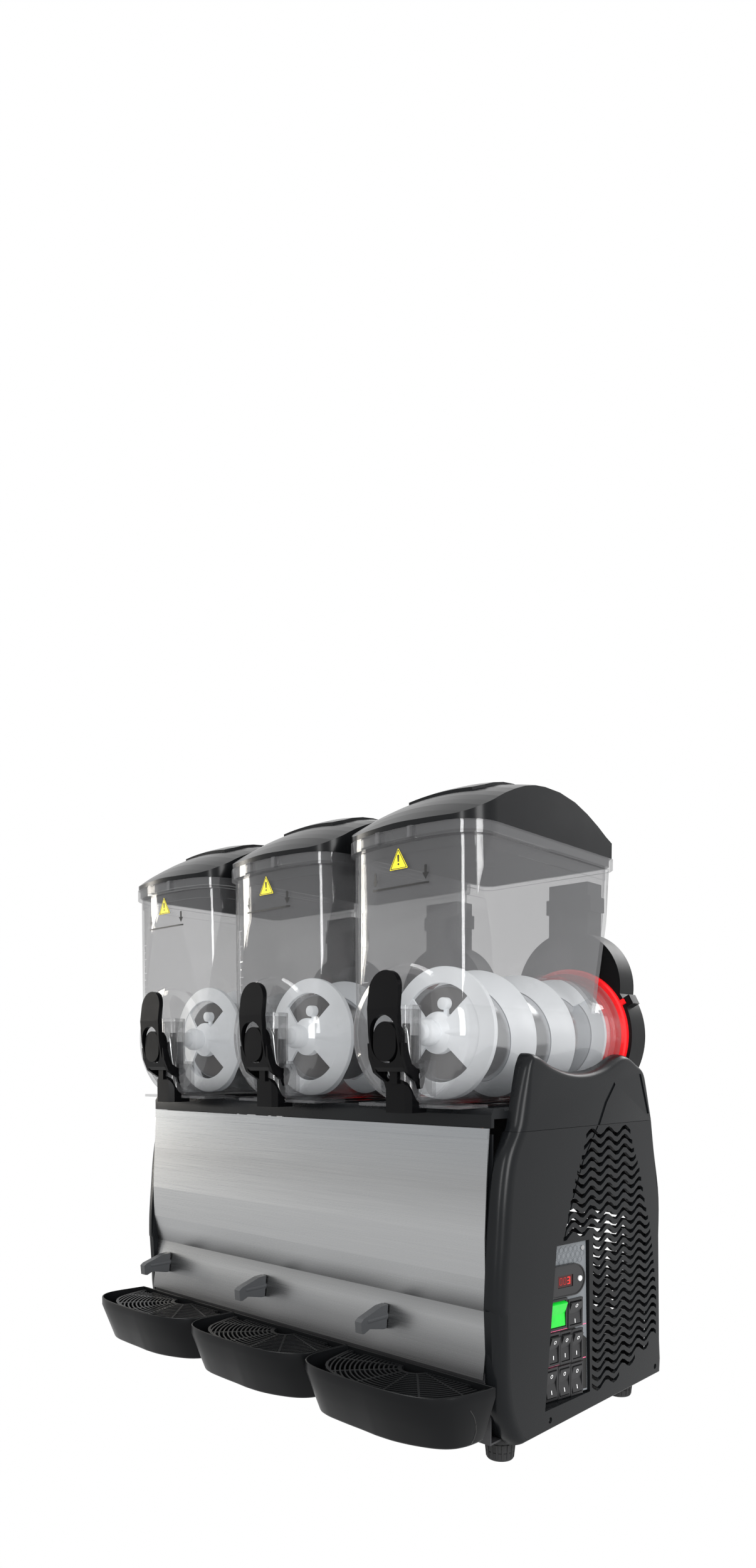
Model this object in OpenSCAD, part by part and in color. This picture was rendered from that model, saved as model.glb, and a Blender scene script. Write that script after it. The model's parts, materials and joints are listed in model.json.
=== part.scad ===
// Three-bowl slush (granita) dispenser: body, three cooled bowls with augers, taps and drip trays.
// Millimetres. X runs to the right seen from the front, the front faces -Y, Z = 0 under the feet.

/* [Overall] */
// distance between two neighbouring bowls
pitch = 200; // [190:1:215]
// overall width across the side panels
body_w = 600; // [580:1:640]
// height of the bowl and auger axis above the worktop
axis_z = 436; // [420:1:450]
// height of the seam between body and top deck
seam_z = 337; // [325:1:345]
// height of the rim that carries the lid
rim_z = 633.6; // [600:0.2:660]

/* [Bowl] */
// outside radius of the bowl's cylinder
bowl_r = 74; // [70:0.5:80]
// wall thickness of the bowl
bowl_wall = 3; // [2:0.5:4]
// half width of the hopper at its rim
rim_hw = 90; // [80:1:94]
// length of the bowl's cylinder
bowl_len = 306; // [290:1:320]

/* [Auger] */
// outside radius of the auger blade
auger_r = 69.3; // [66:0.1:70]
// inside radius of the auger blade
auger_ri = 52.3; // [52:0.1:54]
// advance of the blade in one turn
auger_pitch = 78; // [70:1:86]
// radius of the cooled drum
drum_r = 51.3; // [48:0.1:51.5]
// radius of the drive shaft
shaft_r = 7; // [6:0.5:9]

/* [Tap] */
// radius of the tap's piston
piston_r = 12.95; // [12:0.05:13]
// radius of the tap's bore
tap_bore_r = 13; // [13:0.05:14]
// radius of the lever's pivot pegs
peg_r = 4; // [3:0.5:5]

/* [Drip trays] */
// height of the tray's rim
tray_z = 94; // [85:1:100]
// half width of a tray
tray_hw = 98.5; // [90:0.5:99]
// how far the trays reach in front of the bowls
tray_front = 52; // [40:1:60]

/* [Controls] */
// turn of the control strip towards the user, degrees
ctl_turn = 10; // [0:1:15]

/* [Hidden] */
$fn = 64;
e = 0.01;
hw = body_w/2;
y_rear = 376;
y_mid = (y_rear - tray_front)/2;

// ---------- placing ----------
module F() translate([0, -y_mid, 0]) children();            // front datum to the row's centre
module S(i) F() translate([i*pitch, 0, 0]) children();      // one of the three stations, i = -1, 0, 1
module yz(x0, x1) translate([x0, 0, 0]) rotate([90, 0, 90]) linear_extrude(x1 - x0) children();
module xz(y0, y1) translate([0, y1, 0]) rotate([90, 0, 0]) linear_extrude(y1 - y0) children();
module xy(z0, z1) translate([0, 0, z0]) linear_extrude(z1 - z0) children();
module cy(r, y0, y1, x = 0, z = axis_z) translate([x, y0, z]) rotate([-90, 0, 0]) cylinder(r = r, h = y1 - y0);
module cx(r, x0, x1, y, z) translate([x0, y, z]) rotate([0, 90, 0]) cylinder(r = r, h = x1 - x0);
module cz(r, z0, z1, x = 0, y = 0) translate([x, y, z0]) cylinder(r = r, h = z1 - z0);
module bx(x0, x1, y0, y1, z0, z1) translate([x0, y0, z0]) cube([x1 - x0, y1 - y0, z1 - z0]);
module turned(z = axis_z) translate([0, 0, z]) rotate([-90, 0, 0]) rotate_extrude($fn = 96) children();

// ---------- hopper plan: bowed front, rounded front corners, chamfered rear corners ----------
module plan(w, yf, yb, R, rc, c = 8) {
  xc = w - rc; s = sqrt((R - rc)*(R - rc) - xc*xc); yc = yf + R - s; xt = R*xc/(R - rc) - 0.6;
  intersection() { translate([0, yf + R]) circle(r = R, $fn = 240); translate([-xt, yf - 5]) square([2*xt, yb - yf - 20]); }
  for (m = [-1, 1]) translate([m*xc, yc]) circle(r = rc);
  polygon([[-w, yc], [w, yc], [w, yb - c], [w - c, yb], [-w + c, yb], [-w, yb - c]]);
}

// ---------- bowl ----------
module hopper(t) intersection() {
  xy(axis_z, rim_z - e) plan(rim_hw - 3 - t, -2 + t, 265 - t, 240 - t, 38 - t);
  xz(-20, 300) polygon([[-69.5 + t, 462], [-86.6 + t, 622], [-86.6 + t, 640], [86.6 - t, 640], [86.6 - t, 622], [69.5 - t, 462], [69.5 - t, 430], [-69.5 + t, 430]]);
  yz(-100, 100) polygon([[8 + t, 430], [6 + t, 470], [1 + t, 560], [-3 + t, 620], [-3 + t, 640], [266 - t, 640], [263.5 - t, 560], [260 - t, 500], [259 - t, 430]]);
}
module bowl_out(d) turned() polygon([[0, -d], [58, -d], [65 + d, 2 - d], [70.5 + d, 6.5 - d], [73.3 + d, 12 - d], [bowl_r + d, 18], [bowl_r + d, bowl_len], [0, bowl_len]]);
module bowl(i) color([0.86, 0.89, 0.9, 0.35]) S(i) difference() {
  union() {
    difference() {
      union() {
        difference() {
          union() {
            bowl_out(0);
            hopper(0);
            xy(rim_z - 12.6, rim_z) plan(rim_hw, -7, 268, 240, 40);
            difference() { cy(78, 300, bowl_len); bx(-90, 90, 290, 310, 340, 366); }      // rear flange
          }
          turned() polygon([[0, 3.6], [56.8, 3.6], [63, 5.6], [68, 9.8], [70.3, 14], [bowl_r - bowl_wall, 20], [bowl_r - bowl_wall, 330], [0, 330]]);
          hopper(bowl_wall);
        }
        intersection() { bowl_out(0); bx(-29, 29, -1, 21.6, 371, 407); }                 // pocket for the lever's arms
      }
      bx(-26.2, 26.2, -5, 18.8, 374, 404);
      xy(610, 640) plan(rim_hw - 6, -1, 262, 234, 34);
      xy(rim_z - 9, 640) plan(rim_hw - 3, -4, 265, 237, 37);
    }
    cz(15, 364, 462, 0, 10);                                     // tap housing
    for (m = [-1, 1]) bx(min(m*66, m*18), max(m*66, m*18), 10, 58, 360.1, 363.4);       // front feet
    bx(-18, 18, 30, 58, 360.1, 363.4);
    for (m = [-1, 1]) bx(m*21 - 3, m*21 + 3, -10.2, -4, 622, 633);        // clip tabs
    cx(peg_r, -24.6, 24.6, 6, 392);                              // lever pegs
  }
  cz(tap_bore_r, 340, 458, 0, 10);                               // tap bore
  bx(-6, 6, 10, 30, 366, 384);                                   // way from the cylinder into the tap
}

// ---------- lid: a shallow dome, rising from the front, crowned across its width ----------
lid_p = [[-12, 637.6], [-4.7, 640.3], [8, 650], [20, 658.5], [30, 664.5], [42, 671.3], [54, 677.2], [70, 684], [87, 690], [104, 694], [122, 696], [150, 696.3], [180, 692.4], [205, 685.4], [228, 676.8], [246, 668.8], [258, 664.4], [270, 661]];
lid_R = 280; lid_z0 = rim_z + 0.4;
module lid_rev(d) translate([0, 0, lid_z0 - lid_R]) rotate([-90, 0, 0]) rotate_extrude($fn = 240)
  polygon(concat([[lid_R - 40, -20]], [for (p = lid_p) [lid_R + p[1] - 634 + d, p[0]]], [[lid_R - 40, 280]]));
module lid(i) color([0.09, 0.095, 0.1]) S(i) difference() {
  union() {
    intersection() { lid_rev(0); xy(lid_z0, 702) plan(rim_hw - 1, -6, 267, 239, 39); }
    intersection() { lid_rev(3); xy(650, 702) polygon([[-42, 62], [42, 62], [50, 72], [50, 186], [42, 194], [-42, 194], [-50, 186], [-50, 72]]); }
    xy(rim_z - 8.4, lid_z0 + 1) plan(rim_hw - 3.5, -3.5, 264.5, 236.5, 36.5);
  }
  intersection() { lid_rev(-2.6); xy(lid_z0 + 3, 702) plan(rim_hw - 3.6, -3.4, 264.4, 236.4, 36.4); }
  xy(rim_z - 9, lid_z0 + 3.2) plan(rim_hw - 5.5, -1.5, 262.5, 234.5, 34.5);
}

// ---------- auger: front ring with two fan-shaped wings, hub, helical blade ----------
blade_lag = 20*360/auger_pitch; blade_t = 3.4*360/auger_pitch; blade_y0 = 66; blade_h = 219; blade_a = 118.5;
function pol(r, a) = [r*cos(a), r*sin(a)];
module auger(i) color([0.88, 0.9, 0.92, 0.8]) S(i) {
  translate([0, blade_y0, axis_z]) rotate([-90, 0, 0])
    linear_extrude(height = blade_h, twist = -360*blade_h/auger_pitch, slices = 68, convexity = 8, $fn = 8)
      polygon(concat([for (k = [0:3]) pol(auger_ri + (auger_r - auger_ri)*k/3, blade_a - blade_lag*k/3)],
                     [for (k = [3:-1:0]) pol(auger_ri + (auger_r - auger_ri)*k/3, blade_a - blade_lag*k/3 + blade_t)]));
  difference() {
    union() {
      turned() polygon([[auger_ri - 0.6, 62], [auger_r + 0.3, 65], [auger_r + 0.3, 70], [auger_ri - 0.6, 67]]);     // front ring
      turned() polygon([[auger_ri - 0.6, 283], [auger_r + 0.3, 283], [auger_r + 0.3, 287], [auger_ri - 0.6, 287]]);  // rear ring
      intersection() {                                                                    // wings
        turned() polygon([[14, 52], [22, 57.6], [auger_ri + 2, 62.8], [auger_ri + 2, 65.4], [22, 60.6], [14, 58]]);
        xz(40, 80) for (m = [0, 180]) rotate(m) translate([0, axis_z*(m == 0 ? 1 : -1)]) polygon([[0, 0], [90, 90], [90, -90]]);
      }
      turned() polygon([[0, 28.5], [8.5, 28.5], [10, 30], [10, 34], [13.5, 37], [14, 48], [22, 58], [22, 66], [0, 66]]);   // hub
    }
    cy(shaft_r + 0.02, 40, 70);
  }
}
module drive_shaft(i) color([0.78, 0.79, 0.8]) S(i) difference() {
  cy(shaft_r, 40.02, 340);
  translate([0, 66.5, axis_z + shaft_r - 1.2]) translate([-3, 0, 0]) cube([6, 3, 5]);
}

// ---------- cooled drum, gasket, rear housing and gearmotor of each station ----------
module drum() color([0.7, 0.71, 0.72]) S3() difference() {
  union() { turned() polygon([[0, 72], [47, 72], [50, 73.2], [drum_r, 76], [drum_r, 315], [0, 315]]); cy(11, 69.4, 80); }
  cy(drum_r - 3.3, 76, 330);
  cy(shaft_r + 0.06, 60, 90);
}
module S3() for (i = [-1:1]) S(i) children();
module gasket() color([0.85, 0.03, 0.04]) S3() {
  difference() {
    turned() polygon([[drum_r + 0.3, 306.4], [60, 306.4], [60, 290], [68, 290], [70.3, 293], [70.3, 295], [69.2, 296], [69.2, 298], [70.3, 299], [70.3, 301], [69.2, 302], [69.2, 304], [70.3, 305], [70.3, 306.4], [82, 306.4], [84, 308], [84, 313], [drum_r + 0.3, 313]]);
  }
  translate([84.5*cos(28), 308.5, axis_z + 84.5*sin(28)]) rotate([0, -28, 0]) translate([-2, 0, -3]) cube([7, 4, 6]);
}
module house2d(d) {
  translate([0, axis_z]) circle(r = 88 - d);
  translate([0, axis_z + 59]) circle(r = 72 - d);
  translate([-27 + d, axis_z + 100]) square([54 - 2*d, 89 - d]);
  if (d == 0) for (m = [-1, 1]) translate([m*28 - 3, 590]) square([6, 18]);
}
module housing() color([0.1, 0.105, 0.11]) S3() {
  difference() {
    xz(313.2, 344) house2d(0);
    xz(317, 345) house2d(3);
    cy(drum_r + 0.3, 310, 320);
    cz(4, 330, 372, 0, 331);
  }
  xz(344.1, 346.6) house2d(0);                                                     // back cover
  translate([88*cos(28), 314, axis_z + 88*sin(28)]) rotate([0, -28, 0]) translate([-2.5, 0, -7]) cube([11, 16, 12]);  // latch wedge
}
module gearmotor() color([0.45, 0.46, 0.48]) S3() difference() {
  union() { bx(-36, 36, 322, 342, axis_z - 34, axis_z + 44); cy(16, 317.4, 322.5); cy(30, 320, 342, 0, axis_z + 68); }
  cy(shaft_r + 0.06, 310, 350);
}

// ---------- tap ----------
module ov(w, h) { translate([0, (h - w)/2]) circle(r = w/2); translate([0, -(h - w)/2]) circle(r = w/2); translate([-w/2, -(h - w)/2]) square([w, h - w]); }
pl_f = [[-24, 478], [-26.6, 458], [-25, 432], [-21, 412], [-16.5, 400], [-13.2, 396]];
pl_b = [[-10.2, 399.2], [-11, 405], [-15, 416], [-19, 434], [-20.6, 458], [-18.5, 478]];
module tap_handle(i) color([0.05, 0.05, 0.055]) S(i) {
  difference() {
    union() {
      intersection() {                                                             // plate with a rounded top
        yz(-20, 20) polygon(concat([[-15, 496], [-22, 496]], pl_f, pl_b));
        xz(-40, 20) { translate([0, 475.5]) circle(r = 19.6); polygon([[-19.6, 475.5], [19.6, 475.5], [19.6, 404], [19.6, 390], [-19.6, 390], [-19.6, 404]]); }
      }
      for (m = [-1, 1]) yz(m > 0 ? 18.6 : -23.4, m > 0 ? 23.4 : -18.6)              // side arms back to the pegs
        polygon([[-16, 424], [-8.6, 404], [0, 398.6], [9, 399.5], [12.4, 394], [11, 387], [8, 379.6], [5, 379], [2, 386], [-6, 390], [-14, 395], [-20.5, 410], [-22, 424]]);
    }
    xz(-50, 30) translate([0, 428]) ov(35, 47);                                    // window
    cx(peg_r + 0.06, -30, 30, 6, 392);
  }
}
module tap_piston(i) color([0.1, 0.1, 0.11]) S(i) {
  difference() {
    cz(piston_r, 364.2, 432, 0, 10);
    for (z = [368, 400, 424]) difference() { cz(20, z, z + 2.4, 0, 10); cz(piston_r - 1.4, z - 1, z + 4, 0, 10); }
  }
  cz(4, 431.9, 444, 0, 10);
}
module tap_nozzle(i) color([0.05, 0.05, 0.055]) S(i) difference() {
  union() {
    intersection() {
      xy(355, 389) polygon([[-17.4, -1], [-12.5, -6.5], [12.5, -6.5], [17.4, -1], [17.4, 21], [12, 26], [-12, 26], [-17.4, 21]]);
      xz(-20, 40) { translate([0, 371.4]) circle(r = 17.4); translate([-17.4, 350]) square([34.8, 21.4]); }
    }
    xz(-22.6, -9.4) translate([0, 425.6]) ov(30, 39);                              // oval boss in the lever's window
    bx(-5, 5, -9.5, -5.3, 384, 440);                                               // spine
  }
  cz(9, 350, 364, 0, 10);
  cz(15.05, 363.6, 450, 0, 10);
  bowl_out(0.3);
  bx(-30, 30, 9.5, 40, 359.8, 395);
}

// ---------- drip trays and grids ----------
// right half of the rim's and the bottom's outline, from the middle of the front to the rear
tray_top = [[0, -tray_front], [20, -51.4], [40, -49.2], [56, -45.6], [69, -40], [79, -32.4], [86, -23.6], [90.4, -13], [93.4, -2], [95.6, 9], [97.4, 19], [tray_hw, 28]];
tray_low = [[0, -36], [20, -34.8], [38, -31.2], [54, -25.8], [65, -20.6], [73, -14.6], [78.4, -8], [81.6, -1], [83.6, 6], [84.6, 13], [85, 20], [85, 26]];
function inset(p, t) = [for (i = [0:len(p) - 1]) let(a = p[max(i - 1, 0)], b = p[min(i + 1, len(p) - 1)], d = (b - a)/norm(b - a)) [i == 0 ? 0 : p[i][0] - t*d[1], p[i][1] + t*d[0]]];
module half2(p, yb) polygon(concat([for (q = p) [q[0], min(q[1], yb)]], [for (i = [len(p) - 1:-1:1]) [-p[i][0], min(p[i][1], yb)]]));
module tray_body(t) hull() {
  xy(tray_z - 10, tray_z + (t > 0 ? 2 : 0)) half2(inset(tray_top, t), 28 - t);
  xy(38 + t, 39 + t) half2(inset(tray_low, t), 26 - t);
}
module drip_tray(i) color([0.06, 0.062, 0.066]) S(i) difference() {
  union() { tray_body(0); for (m = [-1, 1]) bx(m*50 - 9, m*50 + 9, 25, 54, 56, 61); }
  tray_body(2.6);
  xy(tray_z - 3.6, tray_z + 4) half2(inset(tray_top, 1.8), 26.2);
}
module drip_grid(i) color([0.06, 0.062, 0.066]) S(i) xy(tray_z - 7.4, tray_z - 3.2) difference() {
  half2(inset(tray_top, 3.4), 24.6);
  intersection() {
    for (k = [0:14]) difference() { translate([0, 27]) circle(r = 23.2 + 5*k); translate([0, 27]) circle(r = 20 + 5*k); }
    half2(inset(tray_top, 6.4), 22);
    difference() { translate([-100, -60]) square([200, 90]);
      for (a = [20, 48, 76, 104, 132, 160]) translate([0, 27]) rotate(-a) translate([0, -1.1]) square([110, 2.2]); }
  }
  translate([0, 27]) circle(r = 15.5);
  for (m = [-1, 1]) translate([m*80 - 8, 17.6]) square([16, 9]);
}

// ---------- body panels ----------
// side profile: front and rear edge points, lower part
sf = [[seam_z - 0.3, 61], [312, 46], [280, 38.6], [232, 34], [166, 30.6], [158, 34], [96, 35], [62, 42], [36, 56], [24, 66]];
sr = [[24, y_rear - 1], [42, y_rear], [133, 366], [171, 367], [241, 367.5], [300, 353], [seam_z - 0.3, 345]];
module side2d(f, r, b) polygon(concat([for (p = sf) [p[1] + f, max(p[0], 24 + b)]], [for (p = sr) [p[1] - r, max(p[0], 24 + b)]]));
module slot2d(y0, y1, z) { // one wavy air slot
  n = max(2, round((y1 - y0)/6.1)); d = (y1 - y0)/n; A = 4.1; L = 36.5; h = 2.35;
  polygon(concat([for (k = [0:n]) let(y = y0 + k*d) [y, z + A*cos(360*(y - 239)/L) - h]], [for (k = [n:-1:0]) let(y = y0 + k*d) [y, z + A*cos(360*(y - 239)/L) + h]]));
}
function vent_f(k) = k < 11 ? 190 - 4.4*k : 207;
function vent_r(k) = k == 27 ? 268 : k == 26 ? 306 : k == 25 ? 340 : 289 + (k < 11 ? 4.6*k : 50 + min(20, 2.4*(k - 11)));
module vents() for (k = [0:27]) slot2d(vent_f(k), vent_r(k), 328 - 10.4*k);
rec = [[133, 215], [198, 213], [203, 44.6], [113, 46.8]];
rec_out = [[130.5, 217.4], [200.4, 215.4], [205.6, 42.2], [110, 44.4]];
module side_panel(m) difference() {
  union() {
    difference() {
      hull() {
        yz(hw - 18, hw - 10) side2d(0, 0, 0);
        yz(hw - 4, hw - 3.9) side2d(5, 2.5, 0.6);
        yz(hw - 0.01, hw) side2d(15, 7, 2.4);
      }
      yz(hw - 20, hw - 3.6) polygon([[68, 338], [50, 300], [44, 232], [40, 160], [44, 96], [54, 60], [72, 28], [370, 28], [370, 44], [360, 133], [360, 240], [346, 300], [338, 338]]);
      yz(hw - 20, hw + 5) difference() { vents(); if (m > 0) polygon([[100, 30], [206.4, 30], [206.4, 218.4], [120, 218.4]]); }
    }
    if (m > 0) yz(hw - 22, hw - 3) polygon(rec_out);                                // walls of the control recess
  }
  if (m > 0) yz(hw - 24, hw + 5) polygon(rec);
  yz(hw - 1.2, hw + 5) polygon([[213, 336], [183, 300], [163, 262], [146, 219], [148, 219], [165.4, 262], [185.4, 300], [216, 336]]);   // groove
  for (p = [[123, 35], [358, 35]]) cx(3.2, hw - 6, hw + 5, p[0], p[1]);
}
module right_side_panel() color([0.1, 0.105, 0.11]) F() { side_panel(1); }
module left_side_panel() color([0.1, 0.105, 0.11]) F() mirror([1, 0, 0]) side_panel(-1);

horn = [[61, seam_z], [65, 346], [71, 372], [77, 396], [81, 406], [86, 412.6], [93, 414], [104, 411.5], [122, 404.5], [145, 398.4], [168, 395.4], [190, 395], [212, 397], [235, 402], [256, 409.5], [270, 413.6], [280, 414], [292, 411], [306, 404.5], [318, 399], [325, 392], [331, 378], [345, seam_z]];
module horn2d(t) polygon([for (p = horn) [p[0] + (p[0] < 100 ? t : p[0] > 300 ? -t : 0), p[1] - (p[1] > seam_z + 20 ? t : 0)]]);
module top_deck() color([0.09, 0.095, 0.1]) F() {
  difference() {
    union() {
      for (m = [0, 1]) mirror([m, 0, 0]) {
        yz(hw - 15.7, hw - 3) horn2d(0);
        yz(hw - 3.1, hw) horn2d(4);
      }
      bx(-hw + 15, hw - 15, 44, 330, 350, 357.6);                                    // floor
      yz(-hw + 15, hw - 15) polygon([[38.4, 341.4], [38.4, 354], [42, 359.6], [60, 359.6], [60, 350], [43, 350], [43, 341.4]]);   // front rail
      yz(-hw + 15, hw - 15) polygon([[316.6, 350], [316.6, 388], [320, 394], [326, 392], [331, 378], [345, seam_z], [338, seam_z], [324, 352]]);  // back wall
      S3b() for (m = [-1, 1]) bx(m*30 - 5, m*30 + 5, 70, 280, 357, 359.2);
    }
    for (i = [-1:1]) translate([i*pitch, 0, 0]) { cy(88.1, 305.8, 350); cz(5, 330, 372, 0, 331); }
    for (m = [-1, 1]) yz(m > 0 ? hw - 1.2 : -hw - 5, m > 0 ? hw + 5 : -hw + 1.2) polygon([[213, seam_z - 2], [231, 365], [251, 384], [253, 381], [234, 362], [217, seam_z - 2]]);
  }
}
module S3b() for (i = [-1:1]) translate([i*pitch, 0, 0]) children();

fp = [[38, 341], [34.6, 290], [32, 235], [33, 195], [39, 161], [30.4, 96]];
module front_panel() color([0.72, 0.73, 0.74]) F() {
  difference() {
    yz(-hw + 18.3, hw - 18.3) polygon(concat(fp, [[31.9, 96], [40.5, 161], [34.5, 195], [33.5, 235], [36.1, 290], [39.5, 341]]));
    for (i = [-1:1]) cy(5.2, 20, 50, i*pitch - 52, 134);
  }
  yz(-hw + 18.3, hw - 18.3) polygon([[36.6, 340.8], [36, 331], [37.35, 331], [38, 340.8]]);
}
module condensate_spouts() color([0.3, 0.31, 0.32]) F() for (i = [-1:1]) translate([i*pitch - 52, 0, 0]) difference() {
  union() {
    yz(-4.6, 4.6) polygon([[-6.2, 135.4], [-2, 138.4], [24.5, 146.4], [35.4, 147], [33, 121.5], [28, 121.5], [7, 126], [-1.6, 122.5], [-5.2, 123.4]]);
    cy(5, 4, 46, 0, 134);
  }
  cz(2.6, 110, 134, 0, 0);
  cy(3, 0, 50, 0, 134);
}
module base_plate() color([0.6, 0.61, 0.62]) F() difference() {
  union() {
    bx(-hw + 19, hw - 19, 46, 364.2, 26.6, 28.6);
    bx(-hw + 19, hw - 19, 44, 46, 26.6, 92);
    yz(-hw + 19, hw - 19) polygon([[44, 90], [33.6, 90], [33.6, 100], [35, 101.4], [35, 92], [46, 92], [46, 90]]);
    bx(-hw + 19, hw - 19, 362.4, 364.2, 26.6, 60);
  }
  for (x = [-(hw - 34), hw - 34], y = [82, 332]) cz(4.2, 20, 40, x, y);
  bx(196, 226, 355, 375, 48, 70);
  for (k = [0:9]) bx(-150 + 30*k, -140 + 30*k, 120, 180, 20, 40);
  for (i = [-1:1], m = [-1, 1]) bx(i*pitch + m*50 - 9.5, i*pitch + m*50 + 9.5, 40, 50, 55.5, 61.5);   // slots for the trays' tongues
}
module rear_panel() color([0.12, 0.12, 0.13]) F() difference() {
  yz(-hw + 19, hw - 19) polygon([[365.8, 30], [365.8, 240], [350.6, 300], [341.6, 335], [340.1, 335], [349, 299.6], [364.3, 239.6], [364.3, 30]]);
  for (c = [-190, 0, 190], k = [0:11]) bx(c - 66, c + 66, 330, 380, 90 + 11*k, 95 + 11*k);
  bx(196, 226, 355, 375, 48, 70);
}
module foot() rotate_extrude() polygon([[0, 0], [13.2, 0], [14, 1], [14.4, 8], [13.6, 8.6], [14.6, 9.2], [15, 17], [14.2, 17.6], [15.2, 18.2], [15.6, 26], [4, 26.4], [4, 35], [0, 35]]);
module feet() color([0.04, 0.04, 0.045]) F() for (x = [-(hw - 34), hw - 34], y = [82, 332]) translate([x, y, 0]) foot();

// ---------- controls, drawn in the strip's own frame: u to the rear, v up, w out of the panel ----------
ctl_y = 158; ctl_x = hw - 10.5;
module C() F() translate([ctl_x, ctl_y, 0]) rotate([0, 0, -ctl_turn]) children();
module uv(w0, w1) yz(w0, w1) children();
plate2 = [[-24.4, 214.4], [39.4, 212.6], [44.2, 46.6], [-44.2, 48.6]];
sw_main = [-8.5, 138, 33.6, 33]; sw_light = [21.6, 136, 23, 31];        // u, z, width, height
sw_mix = [[-11.8, 101.6], [6.5, 101], [24.8, 100.4]];
sw_mode = [[-15.6, 64.8], [4.6, 64], [24.8, 63.2]];
function ctl_all() = concat([sw_main, sw_light], [for (p = sw_mix) [p[0], p[1], 17.8, 35]], [for (p = sw_mode) [p[0], p[1], 19.4, 35]]);
module hole(s, a, b) translate([s[0] - s[2]/2 + a, s[1] - s[3]/2 + b]) square([s[2] - 2*a, s[3] - 2*b]);
module control_plate() color([0.35, 0.36, 0.37]) C() difference() {
  uv(-1.5, 0) polygon(plate2);
  for (s = ctl_all()) uv(-5, 5) hole(s, 0.6, 0.7);
  uv(-5, 5) translate([2, 173.5]) rotate(90) ov(24, 46);
  for (p = [[33, 205], [-36, 56]]) cx(1.6, -5, 5, p[0], p[1]);
}
module switch_frames() color([0.12, 0.12, 0.13]) C() for (s = ctl_all()) {
  difference() {
    union() { uv(0.06, 2.4) hole(s, 0, 0); uv(-16, 0.1) hole(s, 0.8, 0.9); }
    uv(-14.6, 3) hole(s, 2, 2.4);
  }
  translate([-2, s[0] - s[2]/2 + 1, s[1]]) rotate([-90, 0, 0]) cylinder(r = 1.15, h = s[2] - 2);     // pivot pin
}
// a rocker turns on its pin, 2 mm behind the plate's face; rest = how far it is tilted as it stands
module rocker(s, rest) C() translate([-2, s[0], s[1]]) rotate([0, rest, 0]) let(w = s[2] - 4.8, h = s[3] - 6.6) difference() {
  intersection() {
    xz(-w/2, w/2) polygon([[-3, -h/2], [5.6, -h/2], [2.8, 0], [5.6, h/2], [-3, h/2]]);
    cy(h/2 + 0.5, -w, w, 0, 0);
  }
  cy(1.2, -w, w, 0, 0);
}
module main_switch() color([0.05, 0.8, 0.12]) rocker(sw_main, 8);
module light_switch() color([0.2, 0.2, 0.21]) rocker(sw_light, 8);
module mixer_switch(k) color([0.2, 0.2, 0.21]) rocker(ctl_all()[2 + k], 8);
module mode_switch(k) color([0.2, 0.2, 0.21]) rocker(ctl_all()[5 + k], 0);
module temperature_controller() color([0.07, 0.07, 0.075]) C() difference() {
  union() { uv(0.06, 5) translate([2, 173.5]) rotate(90) ov(34, 62); uv(-20, 0.1) translate([2, 173.5]) rotate(90) ov(22, 44); }
  uv(3.8, 7) translate([-10, 166.5]) square([24, 13]);
  for (u = [-20.5, 24.5]) cx(3.3, 1, 8, u, 173.5);
}
module set_button() color([0.75, 0.76, 0.77]) C() cx(3, 2.6, 6, 24.5, 173.5);
module down_button() color([0.75, 0.76, 0.77]) C() cx(3, 2.6, 6, -20.5, 173.5);
module control_box() color([0.6, 0.61, 0.62]) C() difference() {
  uv(-34, -1.7) polygon([[-22, 211], [36, 209], [41, 50], [-40, 52]]);
  uv(-32.6, -1) polygon([[-20.6, 209.6], [34.6, 207.6], [39.6, 51.4], [-38.6, 53.4]]);
  for (i = [5:7]) uv(-17, 1) hole(ctl_all()[i], 0.5, 0.6);                           // notches round the lowest switches
}

// ---------- inside the body ----------
cp = [[0, 0], [58, 0], [66, 6], [68, 16], [68, 92], [64, 108], [50, 122], [30, 130], [0, 133]];
module compressor() color([0.06, 0.06, 0.065]) F() {
  translate([80, 230, 36]) rotate_extrude($fn = 96) polygon(cp);
  difference() { bx(-10, 170, 176, 284, 32, 36.1); cz(55, 20, 40, 80, 230); }
  for (x = [0, 160], y = [186, 274]) cz(7, 28.7, 32, x, y);
  bx(140, 168, 210, 250, 60, 110);
}
module condenser() color([0.62, 0.64, 0.66]) F() {
  for (k = [0:19]) bx(-262, -226, 105 + 11.5*k, 107 + 11.5*k, 60, 300);
  for (z = [80, 124, 168, 212, 256, 284]) cx2(z);
  bx(-263, -225, 101, 103.4, 28.7, 306); bx(-263, -225, 326.6, 329, 28.7, 306);
}
module cx2(z) translate([-244, 103.3, z]) rotate([-90, 0, 0]) cylinder(r = 4.6, h = 223.4);
fan_y = 215; fan_z = 180; fan_x = -196;
module fan_motor() color([0.25, 0.26, 0.27]) F() {
  difference() { bx(-222, -176, 108, 322, 74, 286); cx(96, -230, -170, fan_y, fan_z); }
  difference() { cx(26, -172, -132, fan_y, fan_z); cx(4.06, -175, -140, fan_y, fan_z); }
  for (a = [0, 90, 180, 270]) translate([-170, fan_y, fan_z]) rotate([a, 0, 0]) bx(0, 4, -3, 3, 24, 101);
  difference() { bx(-176.2, -166, 108, 322, 74, 286); bx(-180, -160, 116, 314, 82, 278); }
}
module fan_blades() color([0.5, 0.52, 0.54]) F() translate([fan_x, fan_y, fan_z]) {
  difference() { cx(22, -10, 14, 0, 0); cx(4.02, -2, 20, 0, 0); }
  cx(4, -2, 56 - 4, 0, 0);
  for (a = [0:72:288]) rotate([a, 0, 0]) translate([0, 0, 21]) rotate([0, 0, 28]) bx(-1.2, 1.2, -17, 17, 0, 68);
}
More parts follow.
